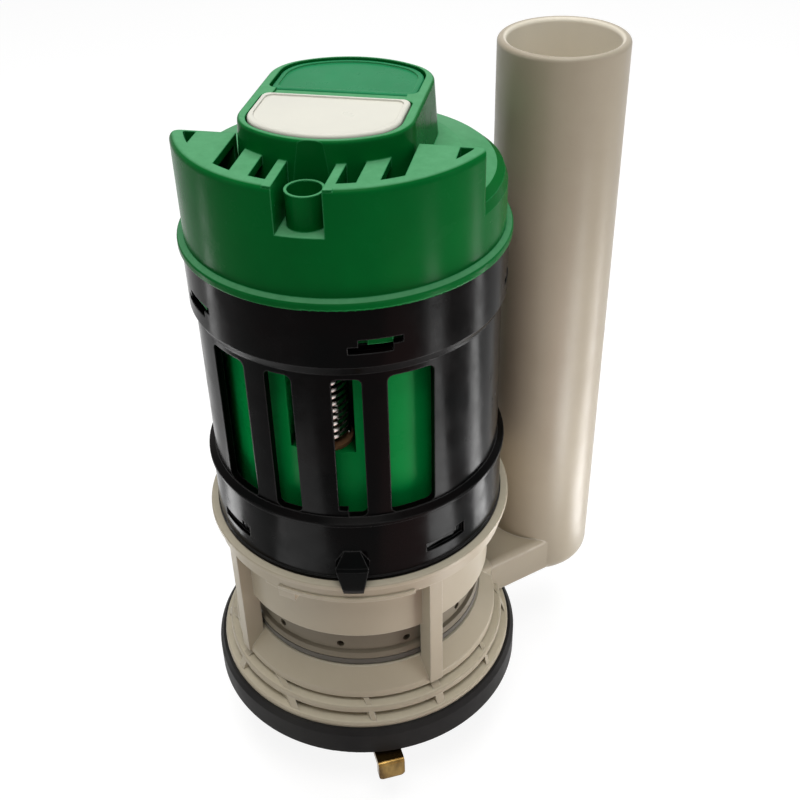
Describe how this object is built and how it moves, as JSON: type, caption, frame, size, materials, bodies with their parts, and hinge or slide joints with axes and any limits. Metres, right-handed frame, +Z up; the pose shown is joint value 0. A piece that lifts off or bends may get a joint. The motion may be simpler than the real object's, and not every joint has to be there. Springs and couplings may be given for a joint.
{
  "type": "toilet flush valve",
  "caption": "Dual-flush toilet valve: stepped base with seat and gasket, slotted cage with float and plunger, button cap and an overflow tube.",
  "frame": {"origin": "on the valve axis, in the upper end of the outlet bore, 8 mm below the underside of the base flange", "axes": "+Z up along the valve axis, -Y to the front, where the half-flush button and the notch of the cap are, +X to the right"},
  "size_m": [0.1216, 0.1192, 0.2211],
  "materials": {
    "beige_plastic": "satin moulded, warm grey-beige",
    "black_rubber": "satin",
    "yellow_zinc": "yellow passivated zinc plate",
    "gloss_black": "high gloss",
    "green_plastic": "gloss",
    "green_button": "satin gloss",
    "white_button": "satin gloss",
    "steel": "turned",
    "spring_steel": "drawn wire",
    "white_plastic": "satin moulded",
    "green_float": "gloss",
    "tan_plastic": "moulded",
    "grey_plastic": "satin moulded, warm grey-beige",
    "seal_rubber": "smooth moulded silicone rubber"
  },
  "bodies": {
    "valve": {"base_body": "beige_plastic", "overflow_tube": "beige_plastic", "base_gasket": "black_rubber", "coupling_plate": "yellow_zinc", "back_nut": "beige_plastic", "cartridge_cage": "gloss_black", "cap": "green_plastic", "lever_carrier": "gloss_black", "full_pivot_pin": "steel", "half_pivot_pin": "steel", "full_button_spring": "spring_steel", "half_button_spring": "spring_steel", "float_spring": "spring_steel", "spring_guide_pin": "gloss_black"},
    "lift": {"lift_rod": "white_plastic", "float": "green_float", "rod_clip": "steel", "spring_seat": "tan_plastic", "plunger": "grey_plastic", "plunger_seal": "seal_rubber", "seal_retainer": "beige_plastic"},
    "full_button": {"full_button": "green_button"},
    "full_rocker": {"full_rocker": "white_plastic"},
    "half_button": {"half_button": "white_button"},
    "half_rocker": {"half_rocker": "white_plastic"},
    "vent": {"vent_rod": "white_plastic"}
  },
  "joints": [
    {"name": "plunger_lift", "type": "slide", "parent": "valve", "child": "lift", "axis": [0, 0, 1], "range_m": [0, 0.01], "stiffness_N_per_m": 1400, "springref_m": -0.004, "deforming": ["float_spring"]},
    {"name": "full_press", "type": "slide", "parent": "valve", "child": "full_button", "axis": [0, 0, -1], "range_m": [0, 0.00664], "stiffness_N_per_m": 620, "springref_m": -0.002, "deforming": ["full_button_spring"]},
    {"name": "full_rock", "type": "hinge", "parent": "valve", "child": "full_rocker", "pos_m": [0, 0.0155, 0.168], "axis": [-1, 0, 0], "range_deg": [0, 54.08]},
    {"name": "half_press", "type": "slide", "parent": "valve", "child": "half_button", "axis": [0, 0, -1], "range_m": [0, 0.00663], "stiffness_N_per_m": 620, "springref_m": -0.002, "deforming": ["half_button_spring"]},
    {"name": "half_rock", "type": "hinge", "parent": "valve", "child": "half_rocker", "pos_m": [0, -0.0155, 0.168], "axis": [1, 0, 0], "range_deg": [0, 54.08]},
    {"name": "vent_lift", "type": "slide", "parent": "lift", "child": "vent", "axis": [0, 0, 1], "range_m": [0, 0.00682]}
  ],
  "couplings": [
    {"joint": "full_press", "follows": "plunger_lift", "ratio": 0.66364},
    {"joint": "full_rock", "follows": "plunger_lift", "rad_per_m": 94.372},
    {"joint": "half_rock", "follows": "half_press", "rad_per_m": 142.21},
    {"joint": "vent_lift", "follows": "half_press", "ratio": 1.0274}
  ]
}
